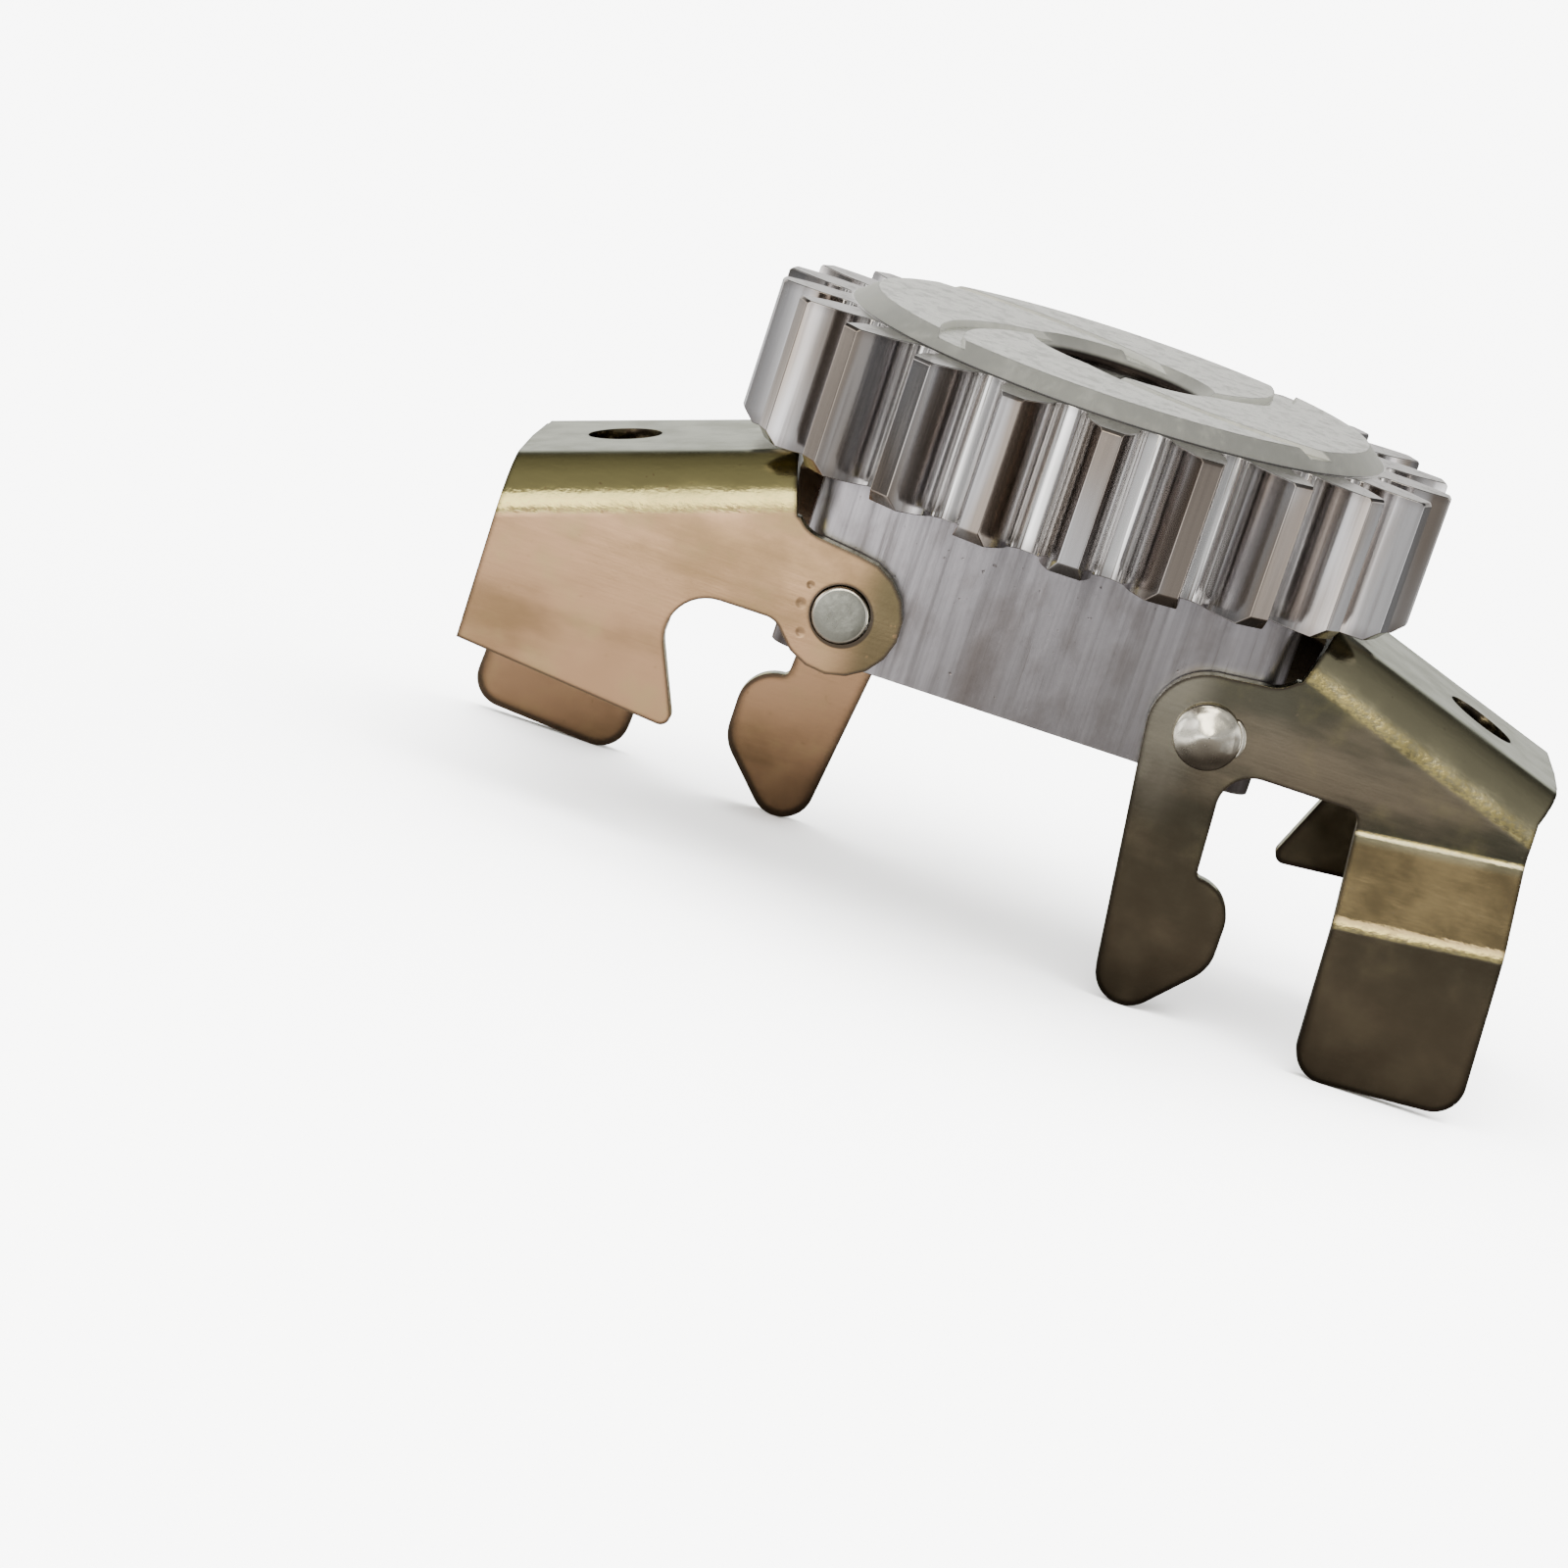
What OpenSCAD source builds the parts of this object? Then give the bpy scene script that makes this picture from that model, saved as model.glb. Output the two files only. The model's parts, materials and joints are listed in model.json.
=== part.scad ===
// Governor gear of a small engine: a sintered spur gear with a carrier block under it,
// two folded sheet flyweights and the two pins they swing on.
// Z runs up the gear's axis, and z = 0 is the level the flyweights' feet stand on.
// Each flyweight is drawn about its own pivot: x outward, z up, y along the pin.

/* [Gear] */
// number of teeth
teeth = 22; // [18:1:28]
// pitch diameter for each tooth
gear_module = 2; // [1:0.25:3]
// pressure angle in degrees
pressure_angle = 20; // [14.5:0.5:25]
// radius of the tooth roots
root_r = 19.2; // [17:0.1:20]
// radius of the fillets between teeth and roots
root_fillet_r = 1; // [0.3:0.05:1.4]
// width of the toothed rim
gear_width = 10; // [6:0.5:16]
// bevel on the lower ends of the teeth
lower_bevel = 0.8; // [0.2:0.1:1.5]
// bevel on the upper ends of the teeth
upper_bevel = 0.2; // [0.1:0.05:1]
// radius of the hub's face
hub_r = 17.6; // [14:0.1:18.5]
// height of the hub's face over the teeth
hub_rise = 1.2; // [0.4:0.1:3]
// diameter of the shaft bore
bore_d = 11; // [8:0.1:14]
// radius where the bore's countersink meets the hub's face
sink_r = 6.5; // [6:0.1:9]

/* [Oil grooves] */
// number of curved grooves
grooves = 4; // [2:1:6]
// radius of a groove's centre line
groove_curve_r = 17.06; // [14:0.01:24]
// distance of the groove's centre of curvature from the axis
groove_centre_r = 12.53; // [8:0.01:20]
// bearing of the first groove's centre of curvature in degrees
groove_bearing = 114.9; // [0:0.1:360]
// groove width
groove_w = 1.6; // [0.8:0.1:3]
// groove depth
groove_depth = 0.5; // [0.2:0.05:1]

/* [Carrier block] */
// half of the block's length
block_half_l = 16.95; // [12:0.05:18]
// depth of the block under the pin axes
block_below = 3.55; // [2.5:0.05:6]
// radius of its upright edges
block_edge_r = 1.8; // [0.5:0.1:3]

/* [Pivots] */
// distance of each pin axis from the gear's axis
pivot_x = 12.95; // [10:0.05:15]
// height of the pin axes over the feet
pivot_z = 19.5; // [15:0.1:25]
// distance from the pin axes up to the gear's underside
pivot_drop = 9.45; // [8:0.05:14]
// pin diameter
pin_d = 3.9; // [3:0.1:5]
// diameter of the pin's domed head
pin_head_d = 4.6; // [4:0.1:7]
// height of the domed head
pin_head_h = 1.1; // [0.5:0.1:2]
// length the flat end stands out of the ear
pin_out = 0.4; // [0.2:0.1:2]
// bevel round the pin's flat end
pin_bevel = 0.2; // [0.1:0.05:0.5]

/* [Flyweight sheet] */
// sheet thickness
sheet = 1.2; // [0.8:0.1:2]
// half width over the two side plates
half_w = 10.8; // [9:0.1:14]
// slope of the web against the gear's face in degrees
web_slope = 18.8; // [0:0.2:30]
// height of the web's outer face over the pivot, square to the web
web_h = 10.7; // [8:0.01:14]
// outer radius of the folds between web and side plates
fold_r = 4; // [2:0.1:5]
// distance along the slope to the web's inner end
web_in = 2.8; // [0:0.1:6]
// outward reach of the web and the tail plate
reach = 24.2; // [18:0.1:30]
// distance the outer end falls back toward the finger's side
end_taper = 0.5; // [0:0.1:2]
// diameter of the hole in the web
web_hole_d = 5.1; // [2:0.1:8]
// distance along the slope to that hole
web_hole_s = 15.5; // [10:0.1:20]
// distance of that hole's centre from the middle, toward the finger
web_hole_y = 0.5; // [0:0.1:2]
// radius of the ears round the pins
ear_r = 4.2; // [3.5:0.1:6]
// depth of the arms' undersides below the pivot
arm_under = 1.68; // [1:0.02:3]
// height over the pivot from which the arm's outer end leans out to the web
arm_out_z = 1.2; // [0:0.1:3]
// radius where an ear's crown sweeps up into the web's end
neck_r = 2.5; // [1:0.1:4]

/* [Finger] */
// outward distance of the toe's centre
toe_x = 0.3; // [-1:0.1:2]
// toe radius
toe_r = 2.3; // [1.5:0.1:3]
// outward distance of the cam heel's centre
heel_x = 2.3; // [1:0.1:4]
// depth of the cam heel's centre
heel_z = 14; // [12:0.1:16]
// cam heel radius
heel_r = 3.05; // [2:0.05:4]
// outward distance of the shoulder's centre
shoulder_x = 2.6; // [1:0.1:4]
// depth of the shoulder's centre
shoulder_z = 12.2; // [10:0.1:14]
// shoulder radius
shoulder_r = 2.75; // [2:0.05:4]
// outward distance of the shank's edge where it meets the arm
shank_x = 2.1; // [1.5:0.1:3]
// outward distance of the shank's edge where it meets the shoulder
shank_low_x = 2.4; // [1.5:0.1:3]
// radius between shank and shoulder
nick_r = 0.4; // [0.2:0.1:1]
// radius between shank and arm
crotch_r = 2.4; // [1:0.1:3]

/* [Wing] */
// outward distance of the wing's inner edge at the first crease
wing_in = 11.45; // [9:0.05:14]
// distance the inner edge moves outward down to the foot
wing_in_run = 0.85; // [0:0.05:3]
// outward distance of the wing's outer edge at the foot
wing_out = 23.95; // [20:0.05:28]
// distance the outer edge is drawn in at the top
wing_out_run = 1; // [0:0.1:3]
// depth of the first crease at the wing's inner edge
crease_z = 2.75; // [2:0.05:5]
// slope of the creases in degrees
crease_slope = 6.5; // [0:0.5:12]
// slope of the foot in degrees
foot_slope = 3.9; // [0:0.1:8]
// angle the sheet leans out between the creases
joggle_angle = 30; // [15:1:50]
// distance the wing stands outside its side plate
joggle = 3.25; // [1:0.05:5]
// inner radius of the creases
crease_r = 1; // [0.5:0.1:2]
// radius of the wing's lower corners
foot_r = 2.2; // [0.5:0.1:3]
// radius between the arm's underside and the wing
armpit_r = 0.95; // [0.5:0.05:2]

/* [Tail plate] */
// outward distance of the centre of the tail's rounded point
tail_x = 9.45; // [6:0.05:11]
// depth of that centre
tail_z = 10.4; // [8:0.1:13]
// radius of the tail's point
tail_r = 0.7; // [0.3:0.1:1.5]
// depth of the tail's outer corner
tail_out_z = 9.7; // [7:0.1:12]
// radius of the notch's throat between ear and tail
throat_r = 2.9; // [1.5:0.1:4]
// outward distance of the throat's centre
throat_x = 8; // [6:0.1:10]
// radius between the ear and the arm's underside
ear_fillet_r = 1.5; // [0.5:0.1:2]

/* [Fits] */
// radial clearance of the ears on the pins
running_gap = 0.09; // [0.03:0.01:0.2]
// gap between the block's faces and the ears
ear_gap = 0.3; // [0.1:0.05:1]
// radial clearance of the pins in the block
press_gap = 0.01; // [0:0.005:0.02]
// gap between a pin's head and the ear
head_gap = 0.1; // [0.02:0.01:0.3]

/* [Hidden] */
full_turn = 360;
half_turn = 180;
quarter = 90;
fine = 96;
arc_steps = 12;
over = 1;
lap = 0.5;
pitch_r = gear_module*teeth/2;
tip_r = pitch_r+gear_module;
base_r = pitch_r*cos(pressure_angle);
tooth_pitch = full_turn/teeth;
flank_steps = 7;
fillet_steps = 6;
fillet_centre_r = root_r+root_fillet_r;
fillet_turn = asin(root_fillet_r/fillet_centre_r);
gear_bottom_z = pivot_z+pivot_drop;
gear_top_z = gear_bottom_z+gear_width;
hub_top_z = gear_top_z+hub_rise;
hub_foot_r = root_r-0.1;
bore_r = bore_d/2;
sink_depth = sink_r-bore_r;
block_bottom_z = pivot_z-block_below;
block_half_t = half_w-sheet-ear_gap;
pin_r = pin_d/2;
block_hole_r = pin_r+press_gap;
ear_hole_r = pin_r+running_gap;
head_r = pin_head_d/2;
head_rim = 0.3;
dome_h = pin_head_h-head_rim;
dome_r = (head_r*head_r+dome_h*dome_h)/(2*dome_h);
dome_angle = asin(head_r/dome_r);
fold_h = web_h-fold_r;
inner_fold_r = fold_r-sheet;
fold_y = half_w-fold_r;
leg = 2*pivot_z;
span_in = 2*half_w;
span_out = reach+half_w;
toe_c = [toe_x, toe_r-pivot_z];
heel_c = [heel_x, -heel_z];
shoulder_c = [shoulder_x, -shoulder_z];
tail_c = [tail_x, -tail_z];
throat_c = [throat_x, -arm_under-throat_r];
nick_x = shank_low_x+nick_r;
nick_c = [nick_x, sqrt(pow(shoulder_r+nick_r, 2)-pow(nick_x-shoulder_x, 2))-shoulder_z];
ear_fillet_z = arm_under+ear_fillet_r;
ear_fillet_c = [sqrt(pow(ear_r+ear_fillet_r, 2)-pow(ear_fillet_z, 2)), -ear_fillet_z];
neck_c = [2.6, 7];
neck_turn = 40;
crease_mid_r = crease_r+sheet/2;
joggle_run = (joggle-2*crease_mid_r*(1-cos(joggle_angle)))/sin(joggle_angle);
wing_in_lean = atan(wing_in_run/(pivot_z-crease_z));
wing_out_lean = atan(wing_out_run/pivot_z);
foot_z = foot_r-pivot_z;
foot_in_x = wing_in+wing_in_run+foot_r;
foot_out_x = wing_out-foot_r;
wing_top_x = wing_out-wing_out_run;

// Points along a circular arc about c from angle a0 to a1.
function arc(c, r, a0, a1) =
    [for (i = [0:arc_steps]) let (a = a0+(a1-a0)*i/arc_steps) c+r*[cos(a), sin(a)]];

// A point at s along the web's slope and h square to it.
function on_slope(s, h) =
    [s*cos(web_slope)+h*sin(web_slope), h*cos(web_slope)-s*sin(web_slope)];

// Height of the line h square above the pivot, at outward distance x.
function slope_z(x, h) = (h-x*sin(web_slope))/cos(web_slope);

// Angle of the normal of the line that touches circle a and circle b, on the given side.
function touch(a, ra, b, rb, side) =
    atan2(b[1]-a[1], b[0]-a[0])+side*acos((ra-rb)/norm(b-a));

// Angle in degrees through which the involute has turned at radius r.
function involute(r) =
    let (t = sqrt(max(r*r/(base_r*base_r)-1, 0))) t*half_turn/PI-atan(t);

// Half of the tooth's angle at radius r.
function half_tooth(r) = quarter/teeth+involute(pitch_r)-involute(r);

// One flank point of step i, on the side given by s.
function flank(i, s) =
    let (r = base_r+(tip_r-base_r)*i/flank_steps, a = s*half_tooth(r)) r*[cos(a), sin(a)];

// One point of the fillet's step i, from the root circle out to the flank, on side s.
function root_fillet(i, s) =
    let (
        a = half_tooth(base_r)+fillet_turn,
        t = half_turn+a+(quarter-fillet_turn)*i/fillet_steps,
        p = fillet_centre_r*[cos(a), sin(a)]+root_fillet_r*[cos(t), sin(t)]
    ) [p[0], s*p[1]];

module tooth() {
    inner_r = root_r-over;
    foot_a = half_tooth(base_r)+fillet_turn;
    polygon(concat(
        [inner_r*[cos(foot_a), -sin(foot_a)]],
        [for (i = [0:fillet_steps]) root_fillet(i, -1)],
        [for (i = [0:flank_steps]) flank(i, -1)],
        [for (i = [flank_steps:-1:0]) flank(i, 1)],
        [for (i = [fillet_steps:-1:0]) root_fillet(i, 1)],
        [inner_r*[cos(foot_a), sin(foot_a)]]
    ));
}

module tooth_ring() {
    circle(r = root_r, $fn = fine);
    for (i = [0:teeth-1])
        rotate(i*tooth_pitch-quarter) tooth();
}

// Turned envelope that bevels the ends of the teeth.
module gear_envelope() {
    rotate_extrude($fn = fine)
        polygon([
            [0, gear_bottom_z],
            [tip_r-lower_bevel, gear_bottom_z],
            [tip_r+over, gear_bottom_z+lower_bevel+over],
            [tip_r+over, gear_top_z-upper_bevel-over],
            [tip_r-upper_bevel, gear_top_z],
            [0, gear_top_z]
        ]);
}

module hub_face() {
    rotate_extrude($fn = fine)
        polygon([
            [0, gear_top_z-over],
            [hub_foot_r, gear_top_z-over],
            [hub_foot_r, gear_top_z],
            [hub_r, hub_top_z],
            [0, hub_top_z]
        ]);
}

// One curved groove, from the countersink out through the hub's edge.
module oil_groove() {
    translate([0, 0, hub_top_z-groove_depth])
        linear_extrude(groove_depth+over)
            intersection() {
                translate(groove_centre_r*[cos(groove_bearing), sin(groove_bearing)])
                    difference() {
                        circle(r = groove_curve_r+groove_w/2, $fn = fine);
                        circle(r = groove_curve_r-groove_w/2, $fn = fine);
                    }
                polygon([[0, -sink_r/2], [tip_r, -sink_r/2], [tip_r, tip_r], [sink_r, tip_r]]);
            }
}

module block_outline() {
    square([2*(block_half_l-block_edge_r), 2*block_half_t], center = true);
    square([2*block_half_l, 2*(block_half_t-block_edge_r)], center = true);
    for (sx = [-1, 1])
        for (sy = [-1, 1])
            translate([sx*(block_half_l-block_edge_r), sy*(block_half_t-block_edge_r)])
                circle(r = block_edge_r, $fn = fine);
}

module pin_bore(r) {
    rotate([quarter, 0, 0])
        cylinder(r = r, h = 4*half_w, center = true, $fn = fine);
}

module governor_gear() {
    color([0.60, 0.59, 0.59])
    difference() {
        union() {
            intersection() {
                translate([0, 0, gear_bottom_z])
                    linear_extrude(gear_width)
                        tooth_ring();
                gear_envelope();
            }
            hub_face();
            translate([0, 0, block_bottom_z])
                linear_extrude(gear_bottom_z+over-block_bottom_z)
                    block_outline();
        }
        for (i = [0:grooves-1])
            rotate(i*full_turn/grooves) oil_groove();
        translate([0, 0, block_bottom_z-over])
            cylinder(r = bore_r, h = hub_top_z-block_bottom_z+2*over, $fn = fine);
        translate([0, 0, hub_top_z-sink_depth])
            cylinder(r1 = bore_r, r2 = sink_r+over, h = sink_depth+over, $fn = fine);
        for (s = [-1, 1])
            translate([s*pivot_x, 0, pivot_z])
                pin_bore(block_hole_r);
    }
}

// Section of the folded sheet: y across, h square to the web.
module channel_section() {
    polygon(concat(
        [[-half_w, fold_h-leg]],
        arc([-fold_y, fold_h], fold_r, half_turn, quarter),
        arc([fold_y, fold_h], fold_r, quarter, 0),
        [[half_w, fold_h-leg], [half_w-sheet, fold_h-leg]],
        arc([fold_y, fold_h], inner_fold_r, 0, quarter),
        arc([-fold_y, fold_h], inner_fold_r, quarter, half_turn),
        [[sheet-half_w, fold_h-leg]]
    ));
}

// Long folded channel along the web's slope, with legs far below the feet.
module channel() {
    rotate([0, web_slope, 0])
        translate([-span_in, 0, 0])
            rotate([quarter, 0, quarter])
                linear_extrude(span_in+span_out)
                    channel_section();
}

// Upper boundary of both side outlines, over the web and down to the ear's crown.
function crown_line() = concat(
    [[reach, slope_z(reach, web_h+over)], on_slope(web_in, web_h+over)],
    [on_slope(web_in, fold_h)],
    arc(neck_c, neck_r, -neck_turn, -quarter)
);

// Finger side: ear, finger with toe and cam heel, arm down to the wing's crease.
module finger_outline() {
    inner_a = touch([0, 0], ear_r, toe_c, toe_r, -1)+full_turn;
    sole_a = touch(heel_c, heel_r, toe_c, toe_r, 1);
    back_a = touch(heel_c, heel_r, shoulder_c, shoulder_r, -1);
    nick_a = atan2(nick_c[1]-shoulder_c[1], nick_c[0]-shoulder_c[0]);
    polygon(concat(
        crown_line(),
        arc([0, 0], ear_r, quarter, inner_a),
        arc(toe_c, toe_r, inner_a, full_turn+sole_a),
        arc(heel_c, heel_r, sole_a, back_a),
        arc(shoulder_c, shoulder_r, back_a, nick_a),
        arc(nick_c, nick_r, half_turn+nick_a, half_turn),
        arc([shank_x+crotch_r, -arm_under-crotch_r], crotch_r, half_turn, quarter),
        arc([wing_in-armpit_r, -arm_under-armpit_r], armpit_r, quarter, 0),
        [[wing_in, -crease_z]],
        [[wing_top_x, (wing_top_x-wing_in)*tan(crease_slope)-crease_z]],
        [[wing_top_x, arm_out_z]]
    ));
}

// Tail side: ear, notch with its throat, pointed tail.
module tail_outline() {
    ear_a = atan2(ear_fillet_c[1], ear_fillet_c[0]);
    throat_a = touch(throat_c, throat_r+tail_r, tail_c, 0, 1);
    sole_a = atan2(tail_z+tail_r-tail_out_z, reach-tail_x)-quarter;
    polygon(concat(
        crown_line(),
        arc([0, 0], ear_r, quarter, full_turn+ear_a),
        arc(ear_fillet_c, ear_fillet_r, half_turn+ear_a, quarter),
        arc(throat_c, throat_r, quarter, throat_a),
        arc(tail_c, tail_r, half_turn+throat_a, full_turn+sole_a),
        [[reach, -tail_out_z]]
    ));
}

// Wing seen square to its plate, from just above the first crease down to the foot.
module wing_outline() {
    foot_out_z = foot_z+(foot_out_x-foot_in_x)*tan(foot_slope);
    polygon(concat(
        [[wing_in, lap-crease_z]],
        arc([foot_in_x, foot_z], foot_r, half_turn+wing_in_lean, full_turn-quarter+foot_slope),
        arc([foot_out_x, foot_out_z], foot_r, foot_slope-quarter, wing_out_lean),
        [[wing_top_x, (wing_top_x-wing_in)*tan(crease_slope)-crease_z+lap]]
    ));
}

// Section of the sheet through both creases: y across, height from the first crease.
module joggle_section() {
    first_c = [sheet-half_w-crease_r-sheet, 0];
    lean = [cos(joggle_angle), -sin(joggle_angle)];
    fall = [-sin(joggle_angle), -cos(joggle_angle)];
    second_c = first_c+2*crease_mid_r*lean+joggle_run*fall;
    polygon(concat(
        [[first_c[0]+crease_r, 2*over]],
        arc(first_c, crease_r, 0, -joggle_angle),
        arc(second_c, crease_r+sheet, half_turn-joggle_angle, half_turn),
        [[second_c[0]-crease_r-sheet, -leg], [second_c[0]-crease_r, -leg]],
        arc(second_c, crease_r, half_turn, half_turn-joggle_angle),
        arc(first_c, crease_r+sheet, -joggle_angle, 0),
        [[first_c[0]+crease_r+sheet, 2*over]]
    ));
}

// Sheet that steps outward under the arm and runs down to the foot.
module wing() {
    intersection() {
        translate([wing_in, 0, -crease_z])
            rotate([0, -crease_slope, 0])
                translate([-span_in, 0, 0])
                    rotate([quarter, 0, quarter])
                        linear_extrude(span_in+span_out)
                            joggle_section();
        side_prism(-half_w-2*joggle, 0)
            wing_outline();
    }
}

// Stands an outline upright between two distances along the pin.
module side_prism(y0, y1) {
    translate([0, y1, 0])
        rotate([quarter, 0, 0])
            linear_extrude(y1-y0)
                children();
}

// Plan of the sheet, with its outer end tapering back toward the finger's side.
module plan_prism() {
    translate([0, 0, -leg])
        linear_extrude(2*leg)
            polygon([
                [-span_in, -half_w-over],
                [reach-end_taper, -half_w-over],
                [reach-end_taper, -half_w],
                [reach, 0],
                [reach, half_w+over],
                [-span_in, half_w+over]
            ]);
}

// Flyweight about its pivot, finger and wing to the front.
module flyweight() {
    difference() {
        union() {
            intersection() {
                channel();
                plan_prism();
                union() {
                    side_prism(-half_w-over, fold_y-over)
                        finger_outline();
                    side_prism(over-fold_y, half_w+over)
                        tail_outline();
                }
            }
            wing();
        }
        pin_bore(ear_hole_r);
        rotate([0, web_slope, 0])
            translate([web_hole_s, -web_hole_y, web_h-fold_r])
                cylinder(r = web_hole_d/2, h = fold_r+over, $fn = fine);
    }
}

module right_flyweight() {
    color([0.42, 0.38, 0.29])
    translate([pivot_x, 0, pivot_z])
        flyweight();
}

module left_flyweight() {
    color([0.76, 0.66, 0.54])
    rotate(half_turn)
        translate([pivot_x, 0, pivot_z])
            flyweight();
}

// Pin about its own middle: domed head to the front, flat bevelled end to the back.
module pivot_pin() {
    head_y = half_w+head_gap;
    end_y = half_w+pin_out;
    rotate([quarter, 0, 0])
        rotate_extrude($fn = fine)
            polygon(concat(
                [[0, -end_y], [pin_r-pin_bevel, -end_y], [pin_r, pin_bevel-end_y]],
                [[pin_r, head_y], [head_r, head_y]],
                arc([0, head_y+pin_head_h-dome_r], dome_r, quarter-dome_angle, quarter)
            ));
}

module right_pivot_pin() {
    color([0.83, 0.82, 0.78])
    translate([pivot_x, 0, pivot_z])
        pivot_pin();
}

module left_pivot_pin() {
    color([0.68, 0.68, 0.66])
    rotate(half_turn)
        translate([pivot_x, 0, pivot_z])
            pivot_pin();
}

governor_gear();
right_flyweight();
left_flyweight();
right_pivot_pin();
left_pivot_pin();
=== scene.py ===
"""Looks for the governor gear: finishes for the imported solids, turned pins and a pale studio."""

import json

import bpy
import numpy as np
from mathutils import Matrix, Vector


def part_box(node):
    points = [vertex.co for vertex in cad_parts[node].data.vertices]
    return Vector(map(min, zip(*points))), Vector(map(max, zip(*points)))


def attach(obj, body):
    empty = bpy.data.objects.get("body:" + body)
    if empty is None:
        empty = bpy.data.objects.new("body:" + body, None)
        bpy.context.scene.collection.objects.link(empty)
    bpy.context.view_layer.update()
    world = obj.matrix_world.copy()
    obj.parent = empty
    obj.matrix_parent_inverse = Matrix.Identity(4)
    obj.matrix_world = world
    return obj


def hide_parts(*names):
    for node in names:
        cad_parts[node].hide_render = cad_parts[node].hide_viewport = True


bl_info = {
    "name": "Governor gear finish",
    "version": (1, 0, 0),
    "blender": (4, 5, 0),
    "location": "3D View > Sidebar > Governor",
    "description": "Steel, plated sheet, pins and studio for a governor gear",
    "category": "Object",
}

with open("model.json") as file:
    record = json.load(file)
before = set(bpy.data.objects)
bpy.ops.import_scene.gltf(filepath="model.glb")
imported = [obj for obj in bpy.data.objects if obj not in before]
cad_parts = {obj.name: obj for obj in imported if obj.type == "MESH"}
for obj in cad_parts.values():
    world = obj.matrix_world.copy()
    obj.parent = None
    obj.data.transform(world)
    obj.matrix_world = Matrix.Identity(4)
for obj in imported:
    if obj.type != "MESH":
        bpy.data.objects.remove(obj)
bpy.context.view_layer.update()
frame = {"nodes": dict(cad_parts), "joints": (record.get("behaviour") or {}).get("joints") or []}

MM = 0.001
GEAR = "governor_gear"
RIGHT_SHEET, LEFT_SHEET = "right_flyweight", "left_flyweight"
RIGHT_PIN, LEFT_PIN = "right_pivot_pin", "left_pivot_pin"
PIVOT = Vector(frame["joints"][0]["pos_m"])
# The middle of the dark smear on the block's faces.
SMEAR_X = -2.7 * MM
HUB_RISE = 1.2 * MM
GEAR_WIDTH = 10 * MM
TEETH_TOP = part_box(GEAR)[1].z - HUB_RISE
TEETH_FOOT = TEETH_TOP - GEAR_WIDTH
BORE_R = 5.5 * MM
ROOT_R = 19.2 * MM
PIN_LOW, PIN_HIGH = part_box(RIGHT_PIN)
PIN_R = 1.95 * MM
HEAD_R = (PIN_HIGH.x - PIN_LOW.x) / 2
EAR_R = 4.2 * MM
# The sheet's thickness, and how far the outer faces of its side plates stand from the middle.
SHEET = 1.2 * MM
PLATE_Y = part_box(RIGHT_SHEET)[1].y
# Nicks round the left ear: across and up from the pivot, and size, all in millimetres.
NICKS = ((-2.75, -0.1, 0.4), (-2.5, 1.3, 0.3), (-2.2, -2.0, 0.35))
# Pale steel for the gear's edges: partly wear, partly painted highlight along the edges.
WORN_AND_HIGHLIT_STEEL = (0.85, 0.84, 0.82)
GRAZING_TINT = (0.84, 0.86, 0.8, 1)
# The studio's level from the back horizon (0) over the top (0.5) to the front horizon (1), from
# the left (0) to the right (1), and on the two side walls by their bearing and height.
ARCH = (
    (0.0, 0.7), (0.1, 0.68), (0.16, 0.06), (0.22, 0.05), (0.36, 0.12), (0.62, 0.19),
    (0.8, 0.2), (0.9, 0.3), (1.0, 0.27),
)
FALL = ((0.0, 0.88), (0.4, 0.88), (0.6, 0.7), (1.0, 0.58))
WALL = ((0.0, 0.0), (0.62, 0.0), (0.9, 1.0), (1.0, 1.0))
WALL_HEIGHT = ((0.0, 1.0), (0.35, 1.0), (0.6, 0.0), (1.0, 0.0))
# The board's level far out, from behind (0) by the left (0.25), front (0.5) and right (0.75).
ROUND = (
    (0.0, 0.12), (0.139, 0.1), (0.189, 0.5), (0.236, 0.09), (0.27, 0.03), (0.33, 0.03),
    (0.38, 0.07), (0.431, 0.25), (0.481, 0.4), (0.503, 0.13), (0.528, 0.11), (0.57, 0.09),
    (0.625, 0.05), (0.68, 0.12), (0.717, 0.42), (0.75, 0.14), (0.8, 0.03), (0.917, 0.03),
    (1.0, 0.12),
)


def colour_prop(name, description, default):
    """A colour that a user can change."""
    return bpy.props.FloatVectorProperty(
        name=name, description=description, subtype="COLOR", size=3, min=0, max=1, default=default
    )


def length_prop(name, description, default):
    """A length in metres that a user can change."""
    return bpy.props.FloatProperty(
        name=name, description=description, default=default, min=0, unit="LENGTH", precision=5
    )


def share_prop(name, description, default):
    """A share from 0 to 1 that a user can change."""
    return bpy.props.FloatProperty(
        name=name, description=description, default=default, min=0, max=1, subtype="FACTOR"
    )


def angle_prop(name, description, default):
    """An angle that a user can change, given here in degrees."""
    return bpy.props.FloatProperty(
        name=name, description=description, default=np.radians(default), subtype="ANGLE"
    )


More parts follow.
